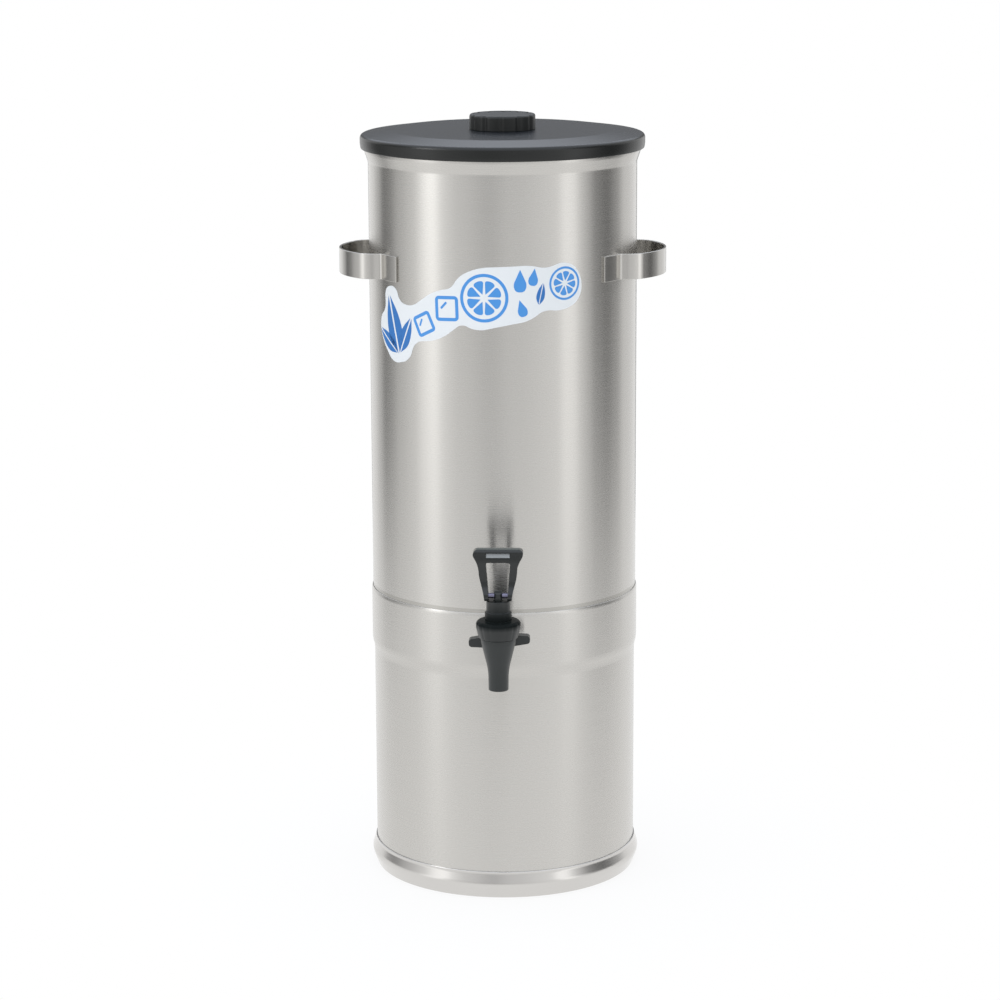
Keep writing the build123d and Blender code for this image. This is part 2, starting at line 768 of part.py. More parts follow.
def lever_front():
    """The handle's front outline in X and Z, with the pin at its origin: a loop on two legs."""
    low = -PIN_RISE - OVERLAP
    shoulder = LEG_KNEE + LEG_DEEP
    right = [
        (LEG_INSIDE_LOW, low),
        (LEG_OUTSIDE_LOW, low),
        (LEG_OUTSIDE_LOW, 0),
        (LEG_OUTSIDE_HIGH, LEG_KNEE),
        (LEG_OUTSIDE_HIGH, shoulder),
        (BAR_HALF, BAR_SHOULDER),
        (BAR_HALF, BAR_TOP),
    ]
    left = [(-x, z) for x, z in reversed(right)]
    window = [(-LEG_INSIDE_HIGH, BAR_LOW), (LEG_INSIDE_HIGH, BAR_LOW)]
    corners = [(side * BAR_HALF, BAR_TOP, BAR_CORNER) for side in (1, -1)]
    corners += [(side * BAR_HALF, BAR_SHOULDER, SHOULDER_ROUND) for side in (1, -1)]
    corners += [(side * LEG_OUTSIDE_HIGH, shoulder, KNEE_ROUND) for side in (1, -1)]
    corners += [(side * LEG_OUTSIDE_HIGH, LEG_KNEE, KNEE_ROUND) for side in (1, -1)]
    corners += [(side * LEG_INSIDE_HIGH, BAR_LOW, WINDOW_ROUND) for side in (1, -1)]
    return outline(right + left + window, corners)


def lever_handle():
    loop = extrude(Plane.XZ * lever_front(), 2 * BAR_DEEP, both=True)
    lever = loop & sideways(lever_side(), 2 * BAR_HALF)
    lever -= sideways(Circle(PIN_RADIUS + RUNNING_FIT), 2 * BAR_HALF)
    middle = (BAR_LOW + BAR_TOP) / 2
    face = -BAR_DEEP / 2
    dish = outline(
        [
            (face - OVERLAP, middle - DISH_HIGH / 2),
            (face, middle - DISH_HIGH / 2),
            (face + DISH_DEEP, middle + DISH_HIGH / 2),
            (face - OVERLAP, middle + DISH_HIGH / 2),
        ]
    )
    lever -= sideways(dish, DISH_WIDE / 2)
    return Pos(0, -FAUCET_DEPTH, PIN_LEVEL) * lever


def spring_point(turn, pitch):
    """A point on the spring's helix and the direction that it runs in, after so many turns."""
    angle = 2 * pi * turn
    point = Vector(SPRING_MEAN * cos(angle), SPRING_MEAN * sin(angle), pitch * turn)
    run = Vector(-SPRING_MEAN * sin(angle), SPRING_MEAN * cos(angle), pitch / (2 * pi))
    return point, run.normalized()


def biarc(start, end):
    """Two arcs from one point and direction to another, smooth where they meet."""
    (first, out), (last, into) = start, end
    step = last - first
    both = out + into
    spread = 2 * (1 - out.dot(into))
    push = step.dot(both)
    arm = (sqrt(push**2 + spread * step.dot(step)) - push) / spread
    meet = (first + out * arm + last - into * arm) / 2
    joined = (last - into * arm - meet).normalized()
    return [TangentArc(first, meet, tangent=out), TangentArc(meet, last, tangent=joined)]


def return_spring():
    """Coils of wire, drawn with six sides, with both ends ground flat on their seats."""
    high = SPRING_HIGH - SPRING_LOW
    pitch = high / SPRING_TURNS
    halves = [spring_point(half / 2, pitch) for half in range(2 * SPRING_TURNS + 1)]
    path = Wire([arc for a, b in zip(halves, halves[1:]) for arc in biarc(a, b)])
    start, run = halves[0]
    wire = sweep(Plane(start, z_dir=run) * RegularPolygon(SPRING_WIRE / 2, SPRING_WIRE_SIDES), path)
    steps = 24
    coils = [spring_point(step / steps, pitch)[0] for step in range(steps * SPRING_TURNS + 1)]
    apart = [(a - b).length for i, a in enumerate(coils) for b in coils[i + steps // 2 :]]
    print("spring: least gap to itself", round(min(apart) - SPRING_WIRE, 2), "mm")
    room = Cylinder(SPRING_ROOM, high, align=(Align.CENTER, Align.CENTER, Align.MIN))
    return at_faucet(Pos(0, 0, SPRING_LOW) * (wire & room))


def write_parts():
    pieces = [
        tank_wall,
        tank_floor,
        base_skirt,
        base_ring,
        left_handle,
        right_handle,
        lid,
        lid_knob,
        knob_screw,
        knob_washer,
        shank,
        outer_washer,
        inner_washer,
        lock_nut,
        tail_gasket,
        wing_nut,
        faucet_body,
        faucet_bonnet,
        valve_stem,
        seat_cup,
        return_spring,
        lever_pin,
        lever_handle,
    ]
    os.makedirs("parts", exist_ok=True)
    for piece in pieces:
        export_step(piece(), f"parts/{piece.__name__}.step")


write_parts()
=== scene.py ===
from math import atan2, cos, hypot, pi, radians, sin, sqrt

import bmesh
import bpy
from mathutils import Matrix, Vector


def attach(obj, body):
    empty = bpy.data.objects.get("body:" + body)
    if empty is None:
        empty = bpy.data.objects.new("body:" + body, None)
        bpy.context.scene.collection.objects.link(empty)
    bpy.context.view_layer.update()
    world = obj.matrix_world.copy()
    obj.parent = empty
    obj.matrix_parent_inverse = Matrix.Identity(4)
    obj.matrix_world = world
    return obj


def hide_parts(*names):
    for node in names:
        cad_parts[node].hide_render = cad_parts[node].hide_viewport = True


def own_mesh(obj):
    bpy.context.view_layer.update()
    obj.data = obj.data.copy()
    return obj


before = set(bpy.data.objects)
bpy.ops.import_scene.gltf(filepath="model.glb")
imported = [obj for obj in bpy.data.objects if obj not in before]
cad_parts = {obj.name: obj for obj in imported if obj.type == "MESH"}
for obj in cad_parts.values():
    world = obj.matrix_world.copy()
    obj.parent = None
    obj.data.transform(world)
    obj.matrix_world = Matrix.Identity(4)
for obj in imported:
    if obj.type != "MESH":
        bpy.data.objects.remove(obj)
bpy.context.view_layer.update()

# Looks of the iced tea dispenser. Shapes are in millimetres and MM makes them metres. The tank
# stands on its axis at the origin, +Z is up and the faucet is at the front, towards -Y.
MM = 0.001
TANK_RADIUS = 119.0

# Steps of a full turn, on the tank and on the faucet
TANK_STEPS = 240
FAUCET_STEPS = 96

# Faucet: its axis, the inlet's height and the hole in the walls, and the cross pin
FAUCET_Y = -167.0
SHANK_Z = 243.0
SHANK_HOLE = 8.3
PIN_Z = 290.0
PIN_RADIUS = 2.25
PIN_HOLE = 2.3

# The heights of the spring's and the cup's tops
SPRING_TOP = 281.7
CUP_TOP = 263.8

# Handles: the strap's middle line in plan, and where it stands
STRAP_ROOT = 120.0
STRAP_LEG = 47.0
STRAP_SIDE = 144.38
STRAP_CORNER = 18.0
STRAP_ARC = 63.0
STRAP_BEND = 4.0
STRAP_TAB = 34.6
STRAP_THICK = 2.0
STRAP_EDGES = (547.6, 570.0)
HANDLE_TURN = -7.0
WELD_FIT = 0.1

# Brushed steel: a line's length round the tank and the gap to the next (0.1 on the real one,
# more here to show), the lines' depth and how much of it shows, the clouds' width and height and
# their share, and how far the roughness swings
BRUSH_LONG = 50.0
BRUSH_GAP = 1.4
BRUSH_DEPTH = 0.01
BRUSH_STRENGTH = 0.03
CLOUD_SIZE = (60.0, 90.0)
CLOUD_SHARE = 0.35
ROUGHNESS_SWING = 0.015

# Steel in the lap above the skirt, painted greyer as painted shade in the crease, and the heights
# it lies between
LAP_SHADE_COLOUR = "#B8B6B1"
LAP_SHADE_EDGES = (261.8, 265.2)

# Plastic: how much of the pebble shows, how far up a face looks where the painted sheen starts and
# is full, heights on the bonnet where the painted shade starts, is full, begins to fade and ends,
# and the gloss there and elsewhere
PEBBLE_STRENGTH = 0.5
TOP_SHEEN_RISE = (0.80, 0.98)
BONNET_SHADE_HEIGHTS = (262.0, 266.0, 272.0, 284.0)
SHADE_GLOSS = 0.03
FULL_GLOSS = 0.5

# Lever: the bar's heights above the pin, and its cam: the lead in millimetres per radian, the
# reach at no tilt and the angle, in degrees, at which it ends
BAR_LOW = 30.1
BAR_TOP = 41.6
CAM_LEAD = 4.58
CAM_START = 3.7
CAM_END = 56.0

# Sticker: its layers, its middle (along the wall from the front, and height) and its slope. The
# ink is thicker than real ink, to lie clear of the vinyl.
GLUE = 0.04
VINYL = 0.12
INK = 0.05
STICKER_AT = (-20.0, 531.0)
STICKER_SLOPE = 12.0
WRAP_STEP = 3.0

# The room that the steel mirrors, by azimuth, 0 at the front and + to the right: its brightness,
# and the rise (the sine of an elevation) at which the bright ceiling starts. Two tall softboxes
# stand at -64 and +60, a dark flag beside each, and right behind is a dark gap under the ceiling.
ROOM = [
    (-180, 0.22, 0.30),
    (-171, 0.22, 0.30),
    (-165, 0.98, 0.50),
    (-146, 0.92, 0.50),
    (-131, 0.58, 0.50),
    (-122, 0.18, 0.50),
    (-113, 0.30, 0.50),
    (-98, 0.66, 0.50),
    (-82, 0.88, 0.50),
    (-71, 1.28, 0.50),
    (-60, 1.42, 0.50),
    (-50, 0.98, 0.50),
    (-36, 0.80, 0.50),
    (-10, 0.62, 0.50),
    (10, 0.76, 0.50),
    (49, 0.94, 0.50),
    (57, 1.40, 0.50),
    (65, 1.40, 0.50),
    (73, 0.90, 0.50),
    (80, 0.68, 0.50),
    (88, 0.30, 0.50),
    (103, 0.14, 0.50),
    (116, 0.36, 0.50),
    (130, 0.82, 0.50),
    (165, 0.98, 0.50),
    (171, 0.22, 0.30),
    (180, 0.22, 0.30),
]
# The ceiling's colour, how softly it starts, and how far the room's sides lean to the front at
# the top, as a factor on the azimuth
CEILING = (1.30, 1.36, 1.48)
CEILING_SOFT = 0.08
ROOM_LEAN = 1.6

# Floor, in metres: its radius, and how far from the axis the shadow is full and is gone. Where
# it is full the camera sees a share of plain white.
FLOOR_RADIUS = 1.5
SHADOW = (0.12, 0.42)
SHADOW_WHITE = 0.86

# Key lamp, in metres and watts
KEY_AT = (-1.8, -0.9, 1.5)
KEY_AIM = (0, 0, 0.35)
KEY_WIDE = 0.5
KEY_TALL = 0.9
KEY_POWER = 5.0

# Camera, in metres and degrees: how far it stands, how high, to which side, and how it points,
# and its lens in millimetres
EYE_DISTANCE = 2.782
EYE_HEIGHT = 0.9483
EYE_AZIMUTH = 1.8
EYE_PAN = 0.073
EYE_DOWN = 12.39
EYE_ROLL = -0.25
EYE_LENS = 113.26


def linear(hex_colour):
    """An sRGB colour such as "#C9C7C2" as the linear colour that a shader takes."""
    parts = [int(hex_colour[i : i + 2], 16) / 255 for i in (1, 3, 5)]
    parts = [p / 12.92 if p <= 0.04045 else ((p + 0.055) / 1.055) ** 2.4 for p in parts]
    return (*parts, 1.0)


def add(tree, kind, settings=None, links=None):
    """Adds a node with its settings, which are attributes or input values, and its links."""
    node = tree.nodes.new(kind)
    for key, value in (settings or {}).items():
        if isinstance(key, str) and hasattr(node, key):
            setattr(node, key, value)
        else:
            node.inputs[key].default_value = value
    for key, socket in (links or {}).items():
        tree.links.new(socket, node.inputs[key])
    return node


def finish_material(name, principled, build=None):
    """A Principled material from its constant inputs and a function that links its patterns."""
    material = bpy.data.materials.new(name)
    material.use_nodes = True
    tree = material.node_tree
    tree.nodes.clear()
    shader = add(tree, "ShaderNodeBsdfPrincipled", principled)
    add(tree, "ShaderNodeOutputMaterial", links={"Surface": shader.outputs[0]})
    if build:
        build(tree, shader)
    return material


def object_point(tree, across, up):
    """Object coordinates counted in pattern cells, so many millimetres across and up."""
    place = add(tree, "ShaderNodeTexCoord")
    scale = (1 / (across * MM), 1 / (across * MM), 1 / (up * MM))
    point = add(tree, "ShaderNodeMapping", {"Scale": scale}, {"Vector": place.outputs["Object"]})
    return point.outputs[0]


def object_height(tree):
    """The height of a point in the object, in metres."""
    place = add(tree, "ShaderNodeTexCoord")
    axes = add(tree, "ShaderNodeSeparateXYZ", links={0: place.outputs["Object"]})
    return axes.outputs["Z"]


def engraved(tree, shader, pattern, strength, depth):
    """Raises and sinks a surface by a pattern, so many millimetres deep."""
    relief = {"Strength": strength, "Distance": depth * MM}
    bump = add(tree, "ShaderNodeBump", relief, {"Height": pattern})
    tree.links.new(bump.outputs[0], shader.inputs["Normal"])


def recoloured(tree, shader, colour, other, share):
    """Goes from one colour to the other by a share of 0 to 1."""
    colours = {"data_type": "RGBA", 6: linear(colour), 7: linear(other)}
    blend = add(tree, "ShaderNodeMix", colours, {0: share})
    tree.links.new(blend.outputs[2], shader.inputs["Base Color"])


def brushed_steel(name, colour, roughness, spread, lap_shade=None):
    """Stainless sheet with a No. 4 belt finish. The lines run round the tank, so a reflection
    keeps sharp sides and smears up and down. Between the two heights of the lap shade the
    steel is painted greyer, as painted shade in the crease."""

    def build(tree, shader):
        lines = {"Scale": 1.0, "Detail": 3.0, "Roughness": 0.6}
        point = object_point(tree, BRUSH_LONG, BRUSH_GAP)
        streaks = add(tree, "ShaderNodeTexNoise", lines, {"Vector": point})
        patches = {"Scale": 1.0, "Detail": 2.0}
        point = object_point(tree, *CLOUD_SIZE)
        cloud = add(tree, "ShaderNodeTexNoise", patches, {"Vector": point})
        sum_up = {"operation": "MULTIPLY_ADD", 1: CLOUD_SHARE}
        both = {0: cloud.outputs["Fac"], 2: streaks.outputs["Fac"]}
        both = add(tree, "ShaderNodeMath", sum_up, both)
        # The two patterns together run from about 0.45 to 0.9.
        limits = {"From Min": 0.45, "From Max": 0.9}
        limits |= {"To Min": roughness - ROUGHNESS_SWING, "To Max": roughness + ROUGHNESS_SWING}
        rough = add(tree, "ShaderNodeMapRange", limits, {"Value": both.outputs[0]})
        tree.links.new(rough.outputs[0], shader.inputs["Roughness"])
        # A little off upright, so that a level face has a direction too
        upright = add(tree, "ShaderNodeCombineXYZ", {"X": 0.002, "Y": 0.003, "Z": 1.0})
        tree.links.new(upright.outputs[0], shader.inputs["Tangent"])
        engraved(tree, shader, streaks.outputs["Fac"], BRUSH_STRENGTH, BRUSH_DEPTH)
        # Painted shade: between the two heights the steel is painted greyer, as shade in the lap's
        # crease.
        if lap_shade:
            low, high = lap_shade
            in_shade = {"operation": "COMPARE", 1: (low + high) / 2 * MM, 2: (high - low) / 2 * MM}
            in_shade = add(tree, "ShaderNodeMath", in_shade, {0: object_height(tree)})
            recoloured(tree, shader, colour, LAP_SHADE_COLOUR, in_shade.outputs[0])

    constant = {"Base Color": linear(colour), "Metallic": 1.0, "Anisotropic": spread}
    return finish_material(name, constant, build)


def moulded(name, colour, roughness, grain, depth, ior, top_sheen=None, shade_heights=None):
    """Injection-moulded plastic or rubber: the spark-eroded tool leaves a fine pebble, its grain
    and depth in millimetres, that softens the gloss. A top sheen colour paints the faces that
    look up lighter, a painted sheen of the light from above. Four rising shade heights: between
    the middle two the gloss is taken away, which paints shade there."""

    def build(tree, shader):
        pebble = {"Scale": 1.0, "Detail": 2.0, "Roughness": 0.5}
        point = object_point(tree, grain, grain)
        skin = add(tree, "ShaderNodeTexNoise", pebble, {"Vector": point})
        engraved(tree, shader, skin.outputs["Fac"], PEBBLE_STRENGTH, depth)
        # Painted light: the faces that look up are painted in the top sheen colour, as the light
        # from above brightens them.
        if top_sheen:
            surface = add(tree, "ShaderNodeNewGeometry")
            axes = add(tree, "ShaderNodeSeparateXYZ", links={0: surface.outputs["Normal"]})
            rise = {"From Min": TOP_SHEEN_RISE[0], "From Max": TOP_SHEEN_RISE[1]}
            upward = add(tree, "ShaderNodeMapRange", rise, {"Value": axes.outputs["Z"]})
            recoloured(tree, shader, colour, top_sheen, upward.outputs[0])
        # Painted shade: between the middle heights the gloss is taken away, so that part stays
        # dark.
        if shade_heights:
            height = object_height(tree)
            ends = []
            for low, high, first, last in ((*shade_heights[:2], 1, 0), (*shade_heights[2:], 0, 1)):
                reach = {"From Min": low * MM, "From Max": high * MM}
                reach |= {"To Min": first, "To Max": last}
                ends.append(add(tree, "ShaderNodeMapRange", reach, {"Value": height}))
            gloss = {0: ends[0].outputs[0], 1: ends[1].outputs[0]}
            gloss = add(tree, "ShaderNodeMath", {"operation": "MAXIMUM"}, gloss)
            level = {"To Min": SHADE_GLOSS, "To Max": FULL_GLOSS}
            level = add(tree, "ShaderNodeMapRange", level, {"Value": gloss.outputs[0]})
            tree.links.new(level.outputs[0], shader.inputs["Specular IOR Level"])

    constant = {"Base Color": linear(colour), "Roughness": roughness, "IOR": ior}
    return finish_material(name, constant, build)


# The tank's steel takes a band of painted shade in the lap above the skirt.
tank_steel = brushed_steel("stainless_sheet_brushed", "#CAC8C4", 0.27, 0.9, LAP_SHADE_EDGES)
ring_steel = brushed_steel("stainless_ring_polished", "#D0CECB", 0.18, 0.7)
strap_steel = brushed_steel("stainless_strap_satin", "#C9C7C3", 0.22, 0.8)
floor_steel = brushed_steel("stainless_floor_drawn", "#C6C4BF", 0.34, 0.3)
# Screws and spring are drawn wire or bar, tumbled until they shine.
bright_steel = finish_material(
    "stainless_wire_bright",
    {"Base Color": linear("#D2D0CC"), "Metallic": 1.0, "Roughness": 0.18},
)
# The pin is zinc plated, which passivates a little blue and violet.
pin_zinc = finish_material(
    "pin_zinc_plated", {"Base Color": linear("#85849A"), "Metallic": 1.0, "Roughness": 0.34}
)
# The lid is polypropylene, the knob phenolic and the faucet nylon, its lever the glossier. Their
# washers are rubber and the cup that shuts the spout is silicone.
# The lid's top sheen is painted light: its faces that look up are painted lighter and bluer, as
# the cool light from above lights them.
lid_plastic = moulded(
    "lid_polypropylene_moulded", "#0E1110", 0.27, grain=1.0, depth=0.012, ior=1.49, top_sheen="#1B2026"
)
knob_plastic = moulded("knob_phenolic_moulded", "#121514", 0.42, grain=0.9, depth=0.03, ior=1.5)
faucet_plastic = moulded("faucet_nylon_moulded", "#1C2121", 0.32, grain=0.6, depth=0.012, ior=1.53)
# Painted shade: the bonnet is the body's nylon painted darker, and its top round the neck loses
# its gloss, to stay dark under the handle.
shaded_bonnet_plastic = moulded(
    "bonnet_nylon_painted_shade", "#171B1B", 0.32, grain=0.6, depth=0.012, ior=1.53, shade_heights=BONNET_SHADE_HEIGHTS
)
# The lever's top sheen is painted light: its faces that look up, such as the bar's top, are
# painted lighter, as lit from above.
lever_plastic = moulded(
    "lever_nylon_gloss", "#151919", 0.24, grain=0.6, depth=0.01, ior=1.53, top_sheen="#4A514F"
)
# Painted highlight: a light grey plastic that stands in for the glint of light in the lever's
# dish.
glint_grey_plastic = moulded("lever_dish_painted_highlight", "#8E9294", 0.35, grain=0.6, depth=0.01, ior=1.5)
seal_rubber = moulded("washer_rubber_moulded", "#1C1C1B", 0.65, grain=0.5, depth=0.02, ior=1.52)
cup_silicone = moulded("seat_cup_silicone", "#D8D5CC", 0.45, grain=0.8, depth=0.01, ior=1.42)
# The sticker is cast vinyl with a satin face, printed in two blues.
sticker_white = finish_material(
    "sticker_vinyl_white", {"Base Color": linear("#E4E8EA"), "Roughness": 0.38, "IOR": 1.45}
)
sticker_blue = finish_material(
    "sticker_ink_blue", {"Base Color": linear("#4A93DA"), "Roughness": 0.4, "IOR": 1.45}
)
sticker_deep = finish_material(
    "sticker_ink_deep_blue", {"Base Color": linear("#2F72B8"), "Roughness": 0.4, "IOR": 1.45}
)


def polygon(bm, points, plane="XZ", segments=5):
    """A flat face through (a, b) or (a, b, rounding) corners, with those corners rounded."""
    place = {
        "XZ": lambda a, b: Vector((a, 0, b)) * MM,
        "XY": lambda a, b: Vector((a, b, 0)) * MM,
        "YZ": lambda a, b: Vector((0, a, b)) * MM,
    }[plane]
    verts = [bm.verts.new(place(p[0], p[1])) for p in points]
    bm.faces.new(verts)
    for vert, point in zip(verts, points):
        if len(point) > 2:
            bmesh.ops.bevel(
                bm,
                geom=[vert],
                offset=point[2] * MM,
                offset_type="OFFSET",
                affect="VERTICES",
                segments=segments,
                profile=0.5,
                material=-1,
            )


def spun(points, steps, segments=5):
    """A shape turned about Z from the rounded outline of its section in radius and height."""
    bm = bmesh.new()
    polygon(bm, points, "XZ", segments)
    bmesh.ops.delete(bm, geom=bm.faces[:], context="FACES_ONLY")
    on_axis = [e for e in bm.edges if all(abs(v.co.x) < 1e-7 for v in e.verts)]
    bmesh.ops.delete(bm, geom=on_axis, context="EDGES")
    bmesh.ops.spin(
        bm,
        geom=bm.verts[:] + bm.edges[:],
        cent=(0, 0, 0),
        axis=(0, 0, 1),
        angle=2 * pi,
        steps=steps,
        use_merge=True,
    )
    bmesh.ops.remove_doubles(bm, verts=bm.verts[:], dist=1e-6)
    bmesh.ops.recalc_face_normals(bm, faces=bm.faces[:])
    return bm


def prism(points, low, high, plane="XZ", segments=6):
    """A rounded outline extruded across its plane, from low to high."""
    bm = bmesh.new()
    polygon(bm, points, plane, segments)
    out = bmesh.ops.extrude_face_region(bm, geom=bm.faces[:])
    along = {"XZ": Vector((0, 1, 0)), "XY": Vector((0, 0, 1)), "YZ": Vector((1, 0, 0))}[plane]
    verts = [g for g in out["geom"] if isinstance(g, bmesh.types.BMVert)]
    bmesh.ops.translate(bm, verts=verts, vec=along * (high - low) * MM)
    bmesh.ops.translate(bm, verts=bm.verts[:], vec=along * low * MM)
    bmesh.ops.recalc_face_normals(bm, faces=bm.faces[:])
    return bm


def rod(radius, low, high, steps=64, rounding=0.01):
    """A round bar about Z."""
    corners = [(0, low), (radius, low, rounding), (radius, high, rounding), (0, high)]
    return spun(corners, steps, 4)


def moved(bm, x=0.0, y=0.0, z=0.0):
    """Moves a shape by so many millimetres."""
    bmesh.ops.translate(bm, verts=bm.verts[:], vec=Vector((x, y, z)) * MM)
    return bm


def turned_by(bm, angle, axis):
    """Turns a shape about an axis through the origin, in degrees."""
    turn = Matrix.Rotation(radians(angle), 3, axis)
    bmesh.ops.rotate(bm, verts=bm.verts[:], cent=(0, 0, 0), matrix=turn)
    return bm


def to_front(bm):
    """Lays a shape that was turned about Z on the inlet line, its height becoming depth."""
    return moved(turned_by(bm, 90, "X"), z=SHANK_Z)


def at_faucet(bm):
    """Stands a shape that was turned about Z on the faucet's axis."""
    return moved(bm, y=FAUCET_Y)


def at_pin(bm):
    """Puts a shape that was drawn about the cross pin in its place."""
    return moved(bm, y=FAUCET_Y, z=PIN_Z)


def as_object(name, bm):
    """Makes an object of a shape."""
    mesh = bpy.data.meshes.new(name)
    bm.to_mesh(mesh)
    bm.free()
    made = bpy.data.objects.new(name, mesh)
    bpy.context.scene.collection.objects.link(made)
    return made


def combined(base, tools, how):
    """The base shape joined with, cut by or kept within other shapes."""
    target = as_object("target", base)
    held = [target]
    for i, bm in enumerate(tools):
        tool = as_object(f"tool_{i}", bm)
        held.append(tool)
        modifier = target.modifiers.new("boolean", "BOOLEAN")
        modifier.operation = how
        modifier.solver = "EXACT"
        modifier.object = tool
    shaped = target.evaluated_get(bpy.context.evaluated_depsgraph_get())
    bm = bmesh.new()
    bm.from_mesh(shaped.to_mesh())
    for made in held:
        bpy.data.objects.remove(made)
    bmesh.ops.remove_doubles(bm, verts=bm.verts[:], dist=1e-6)
    return bm


def dress(made, body, material, nodes=(), slot=None, bevel=0.0, sharp=38.0):
    """Finishes a piece: its material, soft edges, even shading, and what it rides on."""
    made.data.materials.append(material)
    made.data.shade_smooth()
    made.data.set_sharp_from_angle(angle=radians(sharp))
    if bevel:
        edge = made.modifiers.new("edge", "BEVEL")
        edge.width = bevel * MM
        edge.segments = 3
        edge.limit_method = "ANGLE"
        edge.angle_limit = radians(sharp)
    even = made.modifiers.new("even", "WEIGHTED_NORMAL")
    even.keep_sharp = not bevel
    even.weight = 60
    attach(made, body)
    if nodes:
        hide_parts(*nodes)
    return made


def piece(name, bm, *finish, **more):
    """Makes a visible piece of a shape and finishes it, as dress takes it."""
    return dress(as_object(name, bm), *finish, **more)


def shank_hole():
    """The cutter for the shank's hole through both walls."""
    return to_front(moved(rod(SHANK_HOLE, -20, 20), z=TANK_RADIUS))


def tank_wall():
    """Rolled sheet: a straight wall that flares into the mouth's band and its curled rim."""
    outline = [
        (118.0, 212.0),
        (TANK_RADIUS, 212.0, 0.2),
        (TANK_RADIUS, 645.0, 0.8),
        (122.45, 655.2, 1.6),
        (122.45, 666.65, 1.4),
        (119.5, 666.65, 1.2),
        (119.5, 663.7, 0.6),
        (121.45, 663.7, 0.4),
        (121.45, 655.4, 2.0),
        (118.0, 645.2, 2.0),
    ]
    shell = combined(spun(outline, TANK_STEPS), [shank_hole()], "DIFFERENCE")
    piece("tank_wall_sheet", shell, "container", tank_steel, ["tank_wall"], "steel_sheet")


def tank_floor():
    """A drawn floor with a crown in the middle and a flange that turns down along the wall."""
    outline = [
        (0, 227.5),
        (101.9, 227.5, 4.0),
        (109.9, 224.0, 4.0),
        (117.9, 224.0, 7.0),
        (117.9, 212.0),
        (116.9, 212.0),
        (116.9, 223.0, 6.0),
        (109.9, 223.0, 4.0),
        (101.9, 226.5, 4.0),
        (0, 226.5),
    ]
    shell = spun(outline, TANK_STEPS)
    piece("tank_floor_drawn", shell, "container", floor_steel, ["tank_floor"], "steel_sheet")


def base_skirt():
    """The lower cylinder: it laps over the tank's foot, and its sloped top lip is the seam."""
    outline = [
        (117.2, 13.6),
        (118.2, 13.6, 0.2),
        (118.2, 205.7, 4.0),
        (120.1, 211.7, 4.0),
        (120.1, 259.4, 1.0),
        (119.45, 261.7, 0.3),
        (119.1, 261.7, 0.05),
        (119.1, 211.7, 2.0),
        (117.2, 205.7, 2.0),
    ]
    shell = combined(spun(outline, TANK_STEPS), [shank_hole()], "DIFFERENCE")
    piece("base_skirt_sheet", shell, "container", tank_steel, ["base_skirt"], "steel_sheet")


def base_ring():
    """The stamped ring that the dispenser stands on, with its bulge and turned-in foot."""
    outline = [
        (118.3, 24.2, 0.2),
        (118.3, 22.0, 1.0),
        (121.2, 13.9, 1.5),
        (121.2, 11.1, 1.5),
        (117.0, 1.0, 0.5),
        (113.0, 1.0),
        (113.0, 0.0),
        (118.0, 0.0, 0.8),
        (122.2, 11.0, 1.9),
        (122.2, 14.0, 1.9),
        (119.3, 22.2, 1.2),
        (119.3, 24.2, 0.6),
    ]
    shell = spun(outline, TANK_STEPS)
    piece("base_ring_stamped", shell, "container", ring_steel, ["base_ring"], "steel_ring")


def strap_line():
    """One upright edge swept along half a handle: tab, root bend, straight, corner and side."""
    bend_y = STRAP_LEG + STRAP_BEND
    bend = Vector((sqrt((STRAP_ROOT + STRAP_BEND) ** 2 - bend_y**2), -bend_y, 0))
    middle = Vector((STRAP_SIDE - STRAP_ARC, 0, 0))
    hub_y = STRAP_CORNER - STRAP_LEG
    hub = middle + Vector((sqrt((STRAP_ARC - STRAP_CORNER) ** 2 - hub_y**2), hub_y, 0))
    tab = atan2(bend.y, bend.x)
    side = atan2(hub_y, hub.x - middle.x)
    start = radians(-STRAP_TAB)
    bm = bmesh.new()
    foot = Vector((cos(start), sin(start), 0)) * STRAP_ROOT
    ends = [bm.verts.new((foot + Vector((0, 0, z))) * MM) for z in STRAP_EDGES]
    geom = ends + [bm.edges.new(ends)]

    def swing(geom, centre, angle, steps):
        out = bmesh.ops.spin(
            bm, geom=geom, cent=centre * MM, axis=(0, 0, 1), angle=angle, steps=steps
        )
        return out["geom_last"]

    geom = swing(geom, Vector((0, 0, 0)), tab - start, 8)
    geom = swing(geom, bend, -pi / 2 - tab, 12)
    edges = [g for g in geom if isinstance(g, bmesh.types.BMEdge)]
    geom = bmesh.ops.extrude_edge_only(bm, edges=edges)["geom"]
    verts = [g for g in geom if isinstance(g, bmesh.types.BMVert)]
    bmesh.ops.translate(bm, verts=verts, vec=Vector((hub.x - bend.x, 0, 0)) * MM)
    far = [g for g in geom if isinstance(g, bmesh.types.BMEdge) and set(g.verts) == set(verts)]
    geom = swing(verts + far, hub, side + pi / 2, 16)
    swing(geom, middle, -side, 18)
    return bm


def strap_handle(name, side):
    """A bent flat strap that stands on the wall on its two tabs."""
    bm = strap_line()
    bmesh.ops.mirror(bm, geom=bm.verts[:] + bm.edges[:] + bm.faces[:], axis="Y", merge_dist=1e-5)
    bmesh.ops.remove_doubles(bm, verts=bm.verts[:], dist=1e-6)
    turned_by(moved(bm, x=WELD_FIT), HANDLE_TURN, "Z")
    bmesh.ops.scale(bm, vec=(side, 1, 1), verts=bm.verts[:])
    bmesh.ops.recalc_face_normals(bm, faces=bm.faces[:])
    made = as_object(f"{name}_strap", bm)
    wall = made.modifiers.new("wall", "SOLIDIFY")
    wall.thickness = STRAP_THICK * MM
    wall.offset = 0.0
    wall.use_even_offset = True
    dress(made, "container", strap_steel, [name], "steel_strap", bevel=0.4, sharp=50.0)


